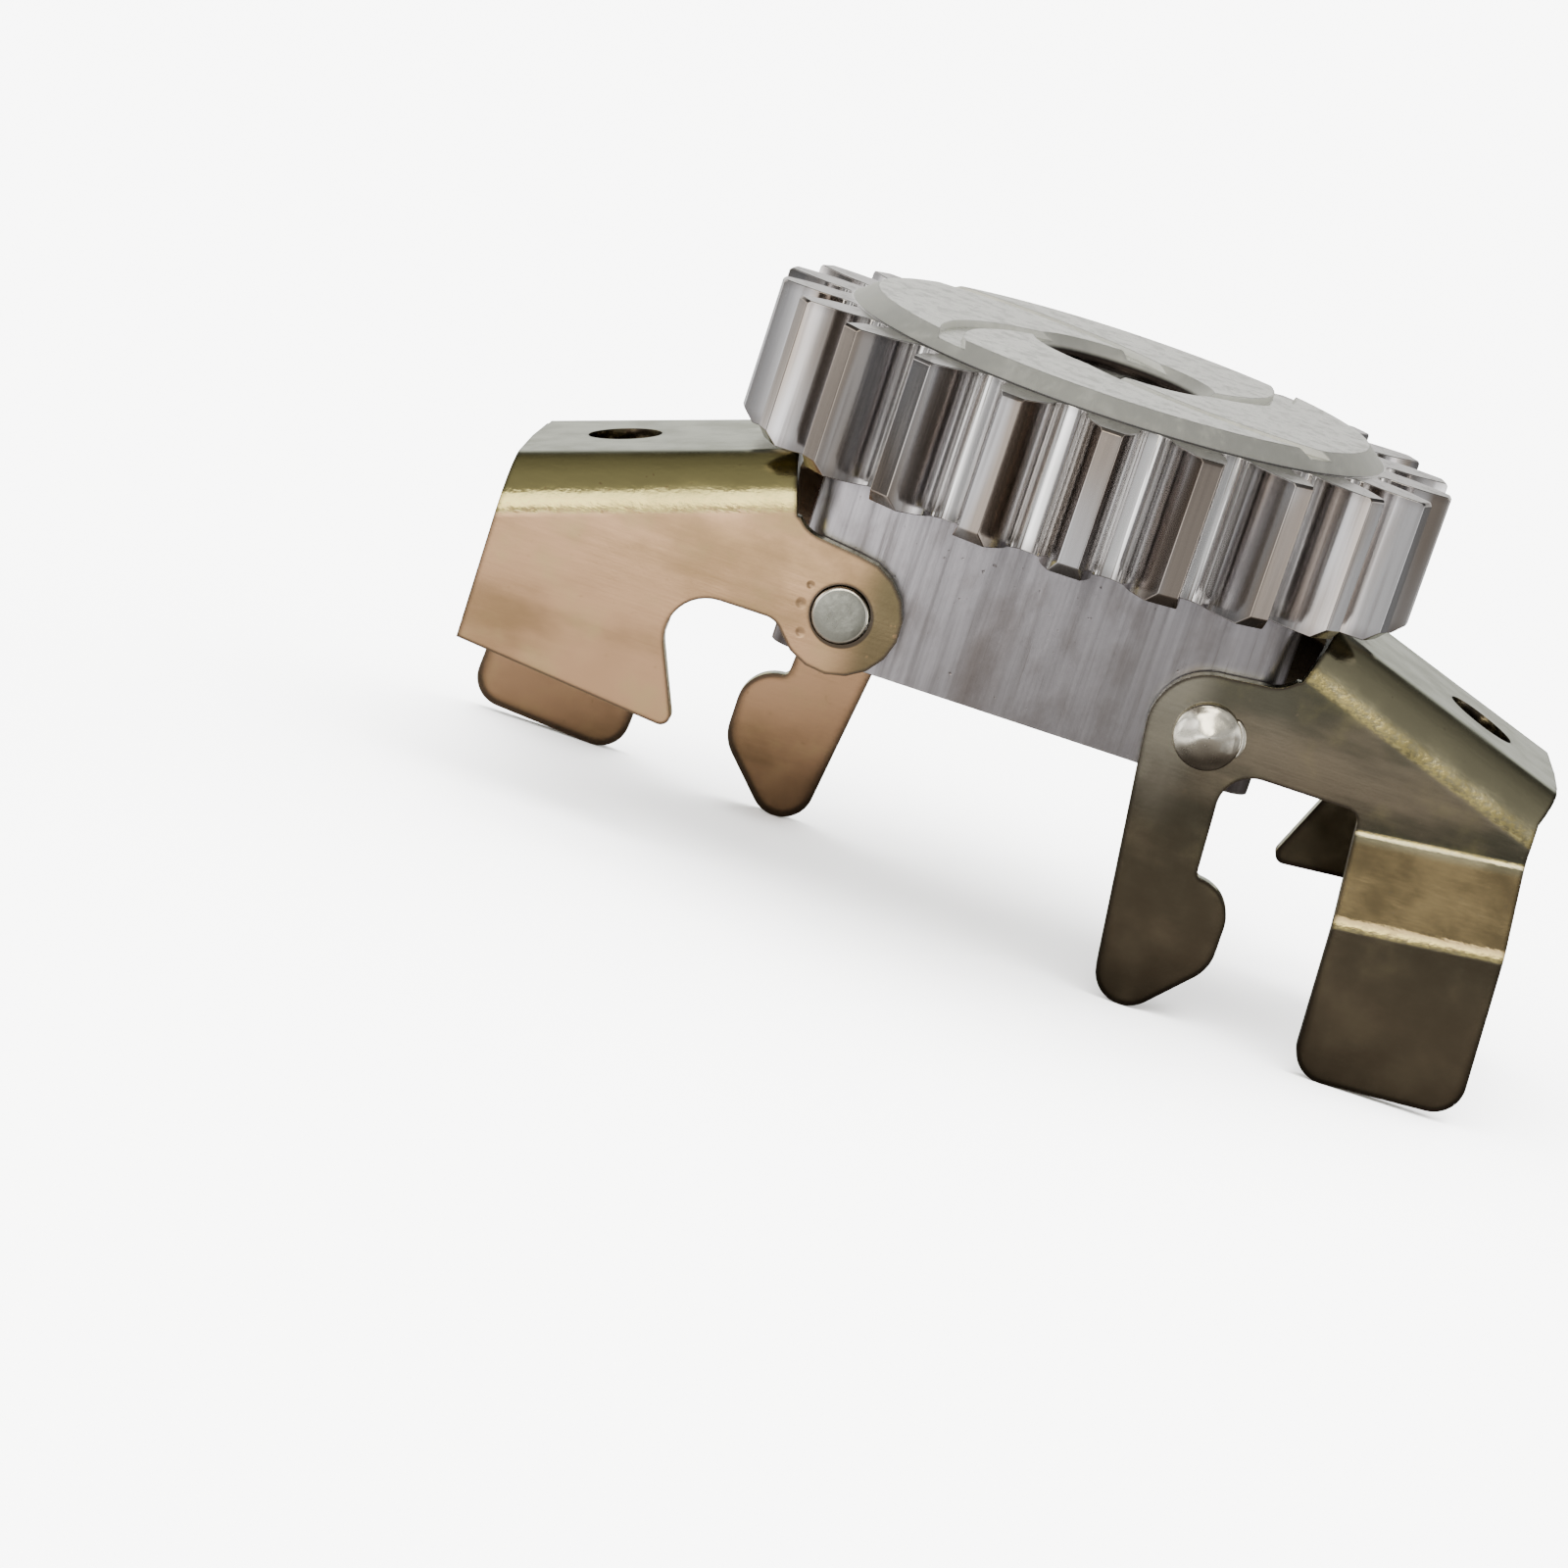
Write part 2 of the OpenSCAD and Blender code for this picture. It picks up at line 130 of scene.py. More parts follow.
class GearFinish(bpy.types.PropertyGroup):
    face_colour: colour_prop("Face", "Turned hub face", (0.86, 0.87, 0.81))
    tooth_colour: colour_prop("Teeth", "Sides of the teeth", (0.47, 0.46, 0.465))
    # This dark colour is also painted shade at the teeth's ends.
    dark_colour: colour_prop("Streaks", "Dark axial streaks", (0.14, 0.12, 0.11))
    # Painted highlight: this bright colour at the tooth roots stands in for the reflections there.
    root_highlight_colour: colour_prop("Roots", "Bright steel between the teeth", (0.80, 0.79, 0.78))
    tarnish_colour: colour_prop("Tarnish", "Brown film on some teeth", (0.27, 0.215, 0.165))
    block_colour: colour_prop("Block", "Flat faces of the carrier block", (0.31, 0.295, 0.31))
    # Painted shade: this near-black colour darkens the bore, faces that look down, the block's top
    # under the teeth and its lower ends.
    gear_shade_colour: colour_prop("Bore", "Oily wall of the bore", (0.05, 0.04, 0.035))
    streak: length_prop("Streak", "Width of an axial streak", 0.45 * MM)
    edge: length_prop("Edge", "Width of the broken edges", 0.12 * MM)
    roughness: share_prop("Roughness", "Roughness of the steel", 0.17)


class SheetFinish(bpy.types.PropertyGroup):
    left_colour: colour_prop("Left", "Plating of the left flyweight", (0.49, 0.30, 0.17))
    left_dark: colour_prop("Left, dark", "Darker plating there", (0.31, 0.195, 0.10))
    # Painted shade: the left ears' inner halves are darkened nearly to black.
    left_ear_shade: colour_prop("Left, ears", "Tint of the ears' inner halves", (0.10, 0.085, 0.045))
    # Painted shade: the right flyweight has the same plating as the left, and its much darker
    # colour is a shaded copy.
    right_shaded_colour: colour_prop("Right", "Plating of the right flyweight", (0.098, 0.092, 0.064))
    right_dark: colour_prop("Right, dark", "Plating lower down there", (0.26, 0.215, 0.15))
    right_ear: colour_prop("Right, ears", "Tint of the ears' inner halves", (0.33, 0.305, 0.24))
    olive: colour_prop("Olive", "Yellow tint of the left folds", (0.45, 0.40, 0.175))
    pale_olive: colour_prop("Pale olive", "Tint of the right folds", (0.44, 0.41, 0.27))
    # Painted reflection: the wings' slopes face partly up, and this golden tone stands in for what
    # they reflect.
    slope: colour_prop("Slopes", "Golden brown of the wings' slopes", (0.29, 0.225, 0.12))
    # Painted highlight: these cream lines stand in for the bright reflections along the bends.
    bend: colour_prop("Bends", "Cream lines where the sheet is bent most", (0.55, 0.46, 0.19))
    web: colour_prop("Webs", "Grey-green tint of the webs", (0.25, 0.255, 0.205))
    # Painted shade: this near-black colour darkens the rims, the faces between the plates and the
    # gap round the pin, and darkens the nicks.
    sheet_shade_colour: colour_prop("Edges", "Dark rims and corners", (0.05, 0.04, 0.03))
    edge: length_prop("Edge", "Width of the rolled edges", 0.42 * MM)
    roughness: share_prop("Roughness", "Roughness of the plating", 0.2)


class PinFinish(bpy.types.PropertyGroup):
    colour: colour_prop("Steel", "Drawn steel of the domes", (0.92, 0.88, 0.76))
    # Painted shade: the flat ends are darkened for the dark they reflect.
    flat: colour_prop("Flat ends", "Dull film on the flat ends", (0.20, 0.20, 0.17))
    # Painted shade: the domes' lower, outer side is darkened.
    pin_shade: colour_prop("Film", "Brown film low on the domes", (0.13, 0.10, 0.07))
    dent: length_prop("Dents", "Depth of the hammer marks on the domes", 0.055 * MM)
    roughness: share_prop("Roughness", "Roughness of the pins", 0.16)


class StudioSettings(bpy.types.PropertyGroup):
    azimuth: angle_prop("Azimuth", "Camera's bearing round the gear's axis", 0.58)
    elevation: angle_prop("Elevation", "Camera's height over the horizon", 13.17)
    roll: angle_prop("Roll", "Camera's turn about its own view", 18.21)
    distance: length_prop("Distance", "From the camera to its target", 346.4 * MM)
    target_x: bpy.props.FloatProperty(
        name="Target X", description="Target across", default=-13.1 * MM, unit="LENGTH"
    )
    target_z: bpy.props.FloatProperty(
        name="Target Z", description="Target height", default=4.7 * MM, unit="LENGTH"
    )
    lens: bpy.props.FloatProperty(name="Lens", description="Focal length in mm", default=113.85)
    floor_colour: colour_prop("Floor", "Pale floor", (0.93, 0.93, 0.925))
    sky_tint: colour_prop("Sky", "Tint of the studio's light", (1, 0.985, 0.95))
    glint_tint: colour_prop("Glints", "Tint of the front light", (1, 0.94, 0.8))
    board_left: colour_prop("Board, left", "What the left side reflects", (0.155, 0.15, 0.146))
    board_right: colour_prop("Board, right", "What the right side reflects", (0.036, 0.033, 0.030))
    board_near: colour_prop("Board, near", "What low faces reflect", (0.012, 0.0105, 0.009))
    paper_light: bpy.props.FloatProperty(name="Paper light", description="On the floor", default=15)
    front_light: bpy.props.FloatProperty(name="Front light", description="For glints", default=1.2)
    sky_light: bpy.props.FloatProperty(name="Sky", description="All round", default=2.5)


GROUPS = {
    "governor_gear_finish": GearFinish,
    "governor_sheet_finish": SheetFinish,
    "governor_pin_finish": PinFinish,
    "governor_studio": StudioSettings,
}


class Nodes:
    """Short ways to add nodes to a tree and join them."""

    def __init__(self, tree):
        self.tree = tree
        tree.nodes.clear()

    def add(self, kind, **values):
        """A node with the given settings."""
        node = self.tree.nodes.new(kind)
        for key, value in values.items():
            setattr(node, key, value)
        return node

    def feed(self, socket, value):
        """Joins an output to a socket, or sets the socket's own value."""
        if isinstance(value, bpy.types.NodeSocket):
            self.tree.links.new(value, socket)
        elif socket.type == "RGBA" and len(value) == 3:
            socket.default_value = (*value, 1)
        else:
            socket.default_value = value

    def join(self, kind, operation, *values, output=0):
        """The result of a math or vector math node on the given values."""
        node = self.add(kind, operation=operation)
        for socket, value in zip(node.inputs, values):
            self.feed(socket, value)
        return node.outputs[output]

    def math(self, operation, *values):
        """A sum, product or other operation on numbers."""
        return self.join("ShaderNodeMath", operation, *values)

    def vector(self, operation, *values, output=0):
        """A difference, product or length of vectors."""
        return self.join("ShaderNodeVectorMath", operation, *values, output=output)

    def product(self, *values):
        """Several numbers multiplied together."""
        total = values[0]
        for value in values[1:]:
            total = self.math("MULTIPLY", total, value)
        return total

    def opposite(self, share):
        """1 less the share."""
        return self.math("SUBTRACT", 1.0, share)

    def stops(self, value, levels):
        """Grey levels eased between (position, level) stops."""
        node = self.add("ShaderNodeValToRGB")
        band = node.color_ramp
        band.interpolation = "EASE"
        for element, (position, level) in zip(band.elements, (levels[0], levels[-1])):
            element.position = position
            element.color = (level, level, level, 1)
        for position, level in levels[1:-1]:
            band.elements.new(position).color = (level, level, level, 1)
        self.feed(node.inputs["Fac"], value)
        return node.outputs["Color"]

    def axis(self, vector, letter):
        """One component of a vector."""
        node = self.add("ShaderNodeSeparateXYZ")
        self.feed(node.inputs[0], vector)
        return node.outputs[letter]


class Finish(Nodes):
    """One material, and short ways to tell its parts apart and blend them."""

    def __init__(self, name, roughness, metallic=1.0):
        self.material = bpy.data.materials.new(name)
        self.material.use_nodes = True
        super().__init__(self.material.node_tree)
        self.shader = self.add("ShaderNodeBsdfPrincipled")
        self.shader.inputs["Metallic"].default_value = metallic
        self.shader.inputs["Roughness"].default_value = roughness
        out = self.add("ShaderNodeOutputMaterial")
        self.tree.links.new(self.shader.outputs["BSDF"], out.inputs["Surface"])
        self.place = self.add("ShaderNodeTexCoord").outputs["Object"]
        geometry = self.add("ShaderNodeNewGeometry")
        self.facing = geometry.outputs["True Normal"]
        self.normal = self.carried(geometry.outputs["True Normal"])
        self.smooth = self.carried(geometry.outputs["Normal"])

    def carried(self, normal):
        """A normal in the piece's own frame, so that what is told by it swings with the piece."""
        node = self.add("ShaderNodeVectorTransform", vector_type="NORMAL")
        self.feed(node.inputs[0], normal)
        return node.outputs[0]

    def ramp(self, value, low, high, to_low=0.0, to_high=1.0):
        """Value carried smoothly from low..high to to_low..to_high, and held outside."""
        node = self.add("ShaderNodeMapRange", interpolation_type="SMOOTHSTEP")
        for socket, number in zip(node.inputs, (value, low, high, to_low, to_high)):
            self.feed(socket, number)
        return node.outputs[0]

    def noise(self, size, stretch=(1, 1, 1), shift=(0, 0, 0), detail=3.0, rough=0.55):
        """Noise whose features are about size across, drawn out along each axis by stretch."""
        mapping = self.add("ShaderNodeMapping", vector_type="POINT")
        self.feed(mapping.inputs["Vector"], self.place)
        self.feed(mapping.inputs["Location"], shift)
        self.feed(mapping.inputs["Scale"], [1 / (size * s) for s in stretch])
        node = self.add("ShaderNodeTexNoise")
        self.feed(node.inputs["Vector"], mapping.outputs[0])
        self.feed(node.inputs["Scale"], 1.0)
        self.feed(node.inputs["Detail"], detail)
        self.feed(node.inputs["Roughness"], rough)
        return node.outputs["Fac"]

    def average(self, first, second, share):
        """The given share of the first number and the rest of the second."""
        return self.math("MULTIPLY_ADD", first, share, self.product(second, 1 - share))

    def largest(self, *values):
        """The largest of several numbers."""
        top = values[0]
        for value in values[1:]:
            top = self.math("MAXIMUM", top, value)
        return top

    def near(self, point, radius, soft):
        """1 inside radius of a point, falling to 0 over soft."""
        away = self.vector("DISTANCE", self.place, point, output="Value")
        return self.ramp(away, radius, radius + soft, 1.0, 0.0)

    def blend(self, share, first, second, mode="MIX"):
        """Colour first turning into second as share rises."""
        node = self.add("ShaderNodeMix", data_type="RGBA", blend_type=mode)
        self.feed(node.inputs["Factor"], share)
        self.feed(node.inputs["A"], first)
        self.feed(node.inputs["B"], second)
        return node.outputs["Result"]

    # A mask of the edges: it carries painted highlight on the gear's edges and painted shade on the
    # flyweights' rims.
    def edge_band(self, radius, sharp=0.8, open_face=0.995):
        """1 on edges within radius, 0 on open faces, from the turn of a rounded normal."""
        bevel = self.add("ShaderNodeBevel", samples=8)
        self.feed(bevel.inputs["Radius"], radius)
        turn = self.vector("DOT_PRODUCT", bevel.outputs[0], self.facing, output="Value")
        return self.ramp(turn, sharp, open_face, 1.0, 0.0)

    def bumps(self, *layers):
        """Bumps laid over each other, each a height and how far it stands, in metres."""
        below = None
        for height, depth in layers:
            node = self.add("ShaderNodeBump")
            self.feed(node.inputs["Height"], height)
            self.feed(node.inputs["Distance"], depth)
            if below is not None:
                self.feed(node.inputs["Normal"], below)
            below = node.outputs[0]
        self.feed(self.shader.inputs["Normal"], below)

    def done(self, colour, roughness=None):
        """Sets what varies over the surface and returns the material."""
        self.feed(self.shader.inputs["Base Color"], colour)
        if roughness is not None:
            self.feed(self.shader.inputs["Roughness"], roughness)
        return self.material


def dress(node_name, material, edge, turn=12, segments=3):
    """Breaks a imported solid's edges with modifiers alone and gives it its finish.

    The loose triangles are welded, those of one plane become one face, and then each edge that
    turns by more than the given angle is rounded.
    """
    solid = frame["nodes"][node_name]
    weld = solid.modifiers.new("Weld", "WELD")
    weld.merge_threshold = 0.001 * MM
    planes = solid.modifiers.new("Whole planes", "DECIMATE")
    planes.decimate_type = "DISSOLVE"
    planes.angle_limit = np.radians(0.6)
    bevel = solid.modifiers.new("Broken edges", "BEVEL")
    bevel.width = edge
    bevel.segments = segments
    bevel.limit_method = "ANGLE"
    bevel.angle_limit = np.radians(turn)
    bevel.use_clamp_overlap = True
    smooth = solid.modifiers.new("Smooth", "WEIGHTED_NORMAL")
    smooth.weight = 50
    smooth.keep_sharp = False
    paint(solid, material)


def paint(piece, material):
    """Puts one material in all of a piece's slots."""
    slots = piece.data.materials
    slots.clear()
    slots.append(material)


def surface(name, points, material, closed=False):
    """An object from a grid of points (rows, columns, 3).

    A closed one joins its last column to its first and has a flat cap on each end row.
    """
    rows, columns = points.shape[:2]
    i, j = np.meshgrid(
        np.arange(rows - 1), np.arange(columns if closed else columns - 1), indexing="ij"
    )
    here, beside = i * columns + j, i * columns + (j + 1) % columns
    faces = np.stack([here, beside, beside + columns, here + columns], -1).reshape(-1, 4)
    ring = np.arange(columns)
    caps = [ring[::-1].tolist(), (ring + (rows - 1) * columns).tolist()] if closed else []
    mesh = bpy.data.meshes.new(name)
    mesh.from_pydata(points.reshape(-1, 3).tolist(), [], faces.tolist() + caps)
    mesh.polygons.foreach_set("use_smooth", [True] * len(faces) + [False] * len(caps))
    mesh.update()
    piece = bpy.data.objects.new(name, mesh)
    bpy.context.scene.collection.objects.link(piece)
    paint(piece, material)
    return piece


class GearSteel(Finish):
    """Turned hub face, streaked teeth, ground block and a bore in painted shade, told apart by
    place.
    """

    def __init__(self, look):
        super().__init__("gear_steel", look.roughness)
        self.look = look
        self.across = self.axis(self.place, "X")
        self.height = self.axis(self.place, "Z")
        flat = self.vector("MULTIPLY", self.place, (1, 1, 0))
        self.radius = self.vector("LENGTH", flat, output="Value")
        self.level = self.axis(self.normal, "Z")
        self.facing_up = self.ramp(self.level, 0.9, 0.99)
        self.sides = self.opposite(self.facing_up)
        self.on_block = self.ramp(self.height, TEETH_FOOT - 0.05 * MM, TEETH_FOOT, 1.0, 0.0)
        self.on_hub = self.ramp(self.height, TEETH_TOP + 0.02 * MM, TEETH_TOP + 0.1 * MM)
        self.fine = self.noise(look.streak * 0.7, stretch=(1, 1, 50), detail=2)
        self.broad = self.noise(look.streak * 3, stretch=(1, 1, 14), shift=(3, 1, 2), detail=2)
        self.mottle = self.noise(2.4 * MM, stretch=(1, 1, 1.6), shift=(7, 3, 5), detail=5)
        self.pits = self.ramp(self.noise(0.55 * MM, shift=(4, 7, 1), detail=2), 0.7, 0.78)
        self.streaks = self.ramp(self.average(self.fine, self.broad, 0.45), 0.34, 0.56)

    def teeth(self):
        """The teeth's sides: a brown film in places, painted highlight at the roots and dark axial
        streaks.
        """
        look = self.look
        tarnish = self.noise(4 * MM, stretch=(1, 1, 8), shift=(2, 4, 9), detail=2)
        tarnished = self.ramp(tarnish, 0.45, 0.62, 0.0, 0.8)
        colour = self.blend(tarnished, look.tooth_colour, look.tarnish_colour)
        # Painted highlight at the roots of the teeth.
        at_root = self.ramp(self.radius, ROOT_R + 0.4 * MM, ROOT_R + 1.8 * MM, 0.8, 0.0)
        colour = self.blend(at_root, colour, look.root_highlight_colour)
        return self.blend(self.product(self.opposite(self.streaks), 0.4), colour, look.dark_colour)

    def block(self):
        """The block's faces: upright bands, a painted highlight on the pale left end, then what
        stains them.
        """
        # The bands times a painted highlight that makes the left end paler.
        tone = self.product(
            self.ramp(self.average(self.broad, self.fine, 0.5), 0.32, 0.68, 0.75, 1.1),
            self.ramp(self.across, -13 * MM, -6 * MM, 1.25, 1.0),
        )
        colour = self.blend(1.0, self.look.block_colour, tone, "MULTIPLY")
        for stain in self.stains():
            colour = self.blend(stain, colour, self.look.dark_colour)
        return colour

    def stains(self):
        """Shares of dark on the block: soft patches, pits, grinding lines and one broad smear."""
        lines = self.noise(0.3 * MM, stretch=(1, 1, 30), shift=(8, 2, 5), detail=2)
        off_smear = self.math("ABSOLUTE", self.math("SUBTRACT", self.across, SMEAR_X))
        smear = self.product(
            self.ramp(off_smear, 0.6 * MM, 2.1 * MM, 0.6, 0.0),
            self.ramp(self.height, PIVOT.z + 3 * MM, PIVOT.z + 5 * MM, 1.0, 0.0),
            self.ramp(self.mottle, 0.25, 0.6, 0.4, 1.0),
        )
        return (
            self.ramp(self.mottle, 0.45, 0.72, 0.0, 0.45),
            self.product(self.pits, 0.6),
            self.ramp(lines, 0.62, 0.7, 0.0, 0.35),
            smear,
        )

    def hub_face(self):
        """The turned face, dulled in soft patches."""
        dulled = self.ramp(self.mottle, 0.3, 0.75, 0.0, 0.15)
        return self.blend(dulled, self.look.face_colour, self.look.tooth_colour)

    def shaded_tooth_ends(self):
        """Share of painted shade near the lower and upper ends of the teeth."""
        return self.product(
            self.largest(
                self.ramp(self.height, TEETH_FOOT, TEETH_FOOT + 1.1 * MM, 0.5, 0.0),
                self.ramp(self.height, TEETH_TOP - 0.7 * MM, TEETH_TOP, 0.0, 0.4),
            ),
            self.opposite(self.on_hub),
            self.opposite(self.on_block),
        )

    def shaded_places(self):
        """Share of painted shade: faces that look down, the block's top and lower ends, the bore.
        """
        looks_down = self.ramp(self.level, -0.98, -0.9, 0.8, 0.0)
        block_top = self.product(
            self.ramp(self.height, TEETH_FOOT - 1.6 * MM, TEETH_FOOT - 0.2 * MM, 0.0, 0.55),
            self.on_block,
        )
        from_middle = self.math("ABSOLUTE", self.across)
        block_ends = self.product(
            self.ramp(from_middle, PIVOT.x + 0.55 * MM, PIVOT.x + 2.05 * MM),
            self.ramp(self.height, PIVOT.z + 1 * MM, PIVOT.z + 4.5 * MM, 0.8, 0.0),
        )
        in_bore = self.ramp(self.radius, BORE_R + 0.1 * MM, BORE_R + 0.4 * MM, 1.0, 0.0)
        return self.largest(looks_down, block_top, block_ends, in_bore)

    def build(self):
        """Puts the colours together, adds worn and highlit edges, painted shade and relief; gives
        the material.
        """
        look = self.look
        tooth_tops = self.blend(0.4, look.tooth_colour, look.dark_colour)
        colour = self.blend(self.on_block, self.teeth(), self.block())
        colour = self.blend(self.facing_up, colour, tooth_tops)
        colour = self.blend(self.on_hub, colour, self.hub_face())
        # Worn edges, lightened further as a painted highlight.
        worn_and_highlit = self.edge_band(0.24 * MM, 0.75, 0.96)
        colour = self.blend(self.product(worn_and_highlit, 0.8), colour, WORN_AND_HIGHLIT_STEEL)
        # Painted shade at the teeth's lower and upper ends, in the dark streak colour.
        colour = self.blend(self.shaded_tooth_ends(), colour, look.dark_colour)
        # Painted shade in the bore, under the teeth, on faces that look down and at the block's
        # lower ends.
        colour = self.blend(self.shaded_places(), colour, look.gear_shade_colour)
        self.bumps(
            (self.product(self.fine, self.sides), 0.002 * MM),
            (self.product(self.broad, self.sides), 0.01 * MM),
            (self.product(self.mottle, self.on_block), 0.03 * MM),
            (self.opposite(self.product(self.pits, self.on_block)), 0.02 * MM),
        )
        rough = self.ramp(self.streaks, 0.0, 1.0, look.roughness + 0.08, look.roughness - 0.04)
        for area, more in (
            (self.on_block, 0.16),
            (self.on_hub, 0.14),
            (self.product(self.on_hub, self.sides), 0.3),
        ):
            rough = self.math("MULTIPLY_ADD", area, more, rough)
        return self.done(colour, rough)


class PlatedSheet(Finish):
    """Passivated plating, told apart by place and by which way the sheet faces.

    Side is 1 for the right flyweight and -1 for the left.
    """

    def __init__(self, name, look, side):
        super().__init__(name, look.roughness)
        self.shader.inputs["Specular Tint"].default_value = GRAZING_TINT
        self.look = look
        self.pivot = Vector((side * PIVOT.x, 0, PIVOT.z))
        self.height = self.axis(self.place, "Z")
        self.out = self.math("ABSOLUTE", self.axis(self.place, "Y"))
        away = self.vector("SUBTRACT", self.place, self.pivot)
        flat = self.vector("MULTIPLY", away, (1, 0, 1))
        self.reach = self.vector("LENGTH", flat, output="Value")
        self.inward = self.product(self.axis(away, "X"), -side)
        self.level = self.axis(self.normal, "Z")
        self.curved = self.ramp(self.math("ABSOLUTE", self.level), 0.01, 0.03)
        self.up = self.math("ABSOLUTE", self.axis(self.smooth, "Z"))
        self.cloud = self.noise(7 * MM, stretch=(1.8, 1, 0.6), shift=(side, 2, 4), detail=4)
        self.patch = self.noise(3.2 * MM, shift=(5, side, 1), detail=5)
        self.ripple = self.noise(1.1 * MM, stretch=(2.5, 1, 1), shift=(1, side, 6), detail=4)
        self.speckle = self.noise(0.3 * MM, stretch=(1.6, 1, 1), shift=(6, side, 2), detail=2)

    def open_sheet(self, base, dark, browned):
        """The flat plates: soft clouds and olive patches, with more of the dark tint low down."""
        colour = self.blend(self.ramp(self.cloud, 0.4, 0.74), base, dark)
        colour = self.blend(self.ramp(self.patch, 0.5, 0.78, 0.0, 0.3), colour, self.look.olive)
        return self.blend(self.ramp(self.height, 2 * MM, 18 * MM, browned, 0.0), colour, dark)

    def folds(self, colour, tint):
        """Lays the folds' ragged tint, a golden painted reflection on the wings' slopes and painted
        cream highlights at the bends.
        """
        ragged = self.math("ADD", self.up, self.math("MULTIPLY_ADD", self.ripple, 0.14, -0.07))
        folded = self.product(self.ramp(ragged, 0.06, 0.24), self.curved)
        colour = self.blend(folded, colour, tint)
        stepped = self.ramp(self.out, PLATE_Y + 0.05 * MM, PLATE_Y + 0.5 * MM)
        # Painted reflection on the wings' slopes.
        colour = self.blend(self.product(stepped, folded), colour, self.look.slope)
        # Painted highlight along the bends.
        bend = self.product(
            self.ramp(self.up, 0.03, 0.12),
            self.ramp(self.up, 0.22, 0.4, 1.0, 0.0),
            self.ramp(self.speckle, 0.35, 0.6, 0.3, 0.95),
            self.curved,
        )
        return self.blend(bend, colour, self.look.bend)

    def on_ears(self):
        """Share of the ears' tint, painted shade on the left flyweight: strongest on the half that
        faces the gear's axis.
        """
        return self.product(
            self.ramp(self.reach, EAR_R, EAR_R + 3.8 * MM, 1.0, 0.0),
            self.ramp(self.inward, -0.5 * MM, 2.6 * MM, 0.1, 0.9),
        )

    def rims(self):
        """Share of painted shade on the rims, which are wider on inner faces and low down."""
        outward = self.product(self.axis(self.place, "Y"), self.axis(self.normal, "Y"))
        width = self.math(
            "ADD",
            self.ramp(outward, -1 * MM, 0.0, 1.1 * MM, 0.6 * MM),
            self.ramp(self.height, 3 * MM, 9 * MM, 0.5 * MM, 0.0),
        )
        return self.product(self.edge_band(width, 0.9, 0.998), 0.9)

    def inside(self):
        """Share of painted shade between the plates, from the ears upward, but not on faces that
        look up.
        """
        inner = PLATE_Y - SHEET
        return self.product(
            self.ramp(self.out, inner + 0.05 * MM, inner + 0.1 * MM, 1.0, 0.0),
            self.ramp(self.level, 0.3, 0.6, 1.0, 0.0),
            self.ramp(self.height, PIVOT.z - 3.5 * MM, PIVOT.z + 1.5 * MM, 0.0, 0.9),
        )

    def pin_gap(self):
        """Share of painted shade in the gap round the pin, a little wider at one side of the front
        ears.
        """
        beside = Vector((self.pivot.x + 0.1 * MM, -PLATE_Y, self.pivot.z - 0.1 * MM))
        return self.largest(
            self.ramp(self.reach, PIN_R + 0.15 * MM, PIN_R + 0.25 * MM, 0.95, 0.0),
            self.product(self.near(beside, PIN_R + 0.19 * MM, 0.1 * MM), 0.95),
        )

    def nick(self, x, z, size):
        """1 in a nick of the front ear, at x and z from the pivot, all three in millimetres."""
        place = Vector((self.pivot.x + x * MM, -PLATE_Y, self.pivot.z + z * MM))
        return self.near(place, 0.15 * size * MM, size * MM)

    def relief(self):
        """Bumps: grain and drawing lines all over, ripples and speckle where the sheet is bent.

        The wings' slopes are flat but tilted by 30 degrees, so they get little of the ripples.
        """
        on_slope = self.math("COMPARE", self.up, 0.5, 0.012)
        rounds = self.product(
            self.ramp(self.up, 0.01, 0.1),
            self.ramp(self.up, 0.8, 0.93, 1.0, 0.0),
            self.ramp(on_slope, 0.0, 1.0, 1.0, 0.15),
            self.curved,
        )
        drawn = self.noise(0.35 * MM, stretch=(24, 1, 1), shift=(2, 8, 3), detail=3)
        return [
            (self.noise(0.22 * MM, detail=2), 0.0018 * MM),
            (drawn, 0.003 * MM),
            (self.product(self.ripple, rounds), 0.04 * MM),
            (self.product(self.speckle, rounds), 0.014 * MM),
        ]

    def build(self, tints, browned, nicks=()):
        """Lays the tints, painted shade and darkened nicks over each other and gives the material.

        The tints are those of the open sheet, its clouds, the ears and the folds, and browned is
        how much of the clouds' tint low parts take.
        """
        base, dark, ear_tint, fold_tint = tints
        look = self.look
        colour = self.folds(self.open_sheet(base, dark, browned), fold_tint)
        # The ears' tint; on the left flyweight it is painted shade.
        colour = self.blend(self.on_ears(), colour, ear_tint)
        colour = self.blend(self.ramp(self.up, 0.895, 0.94), colour, look.web)
        specks = self.noise(0.5 * MM, shift=(9, 9, 9), detail=1)
        colour = self.blend(self.ramp(specks, 0.74, 0.8, 0.0, 0.5), colour, dark)
        nicked = [self.nick(*nick) for nick in nicks]
        nick_shades = [self.product(n, 0.35) for n in nicked]
        # Painted shade on rims, inside faces and the pin gap, with the darkened nicks.
        shade = self.largest(self.rims(), self.inside(), self.pin_gap(), *nick_shades)
        self.bumps(*self.relief(), *((self.opposite(n), 0.02 * MM) for n in nicked))
        rough = self.ramp(self.patch, 0.3, 0.7, look.roughness - 0.05, look.roughness + 0.07)
        return self.done(self.blend(shade, colour, look.sheet_shade_colour), rough)


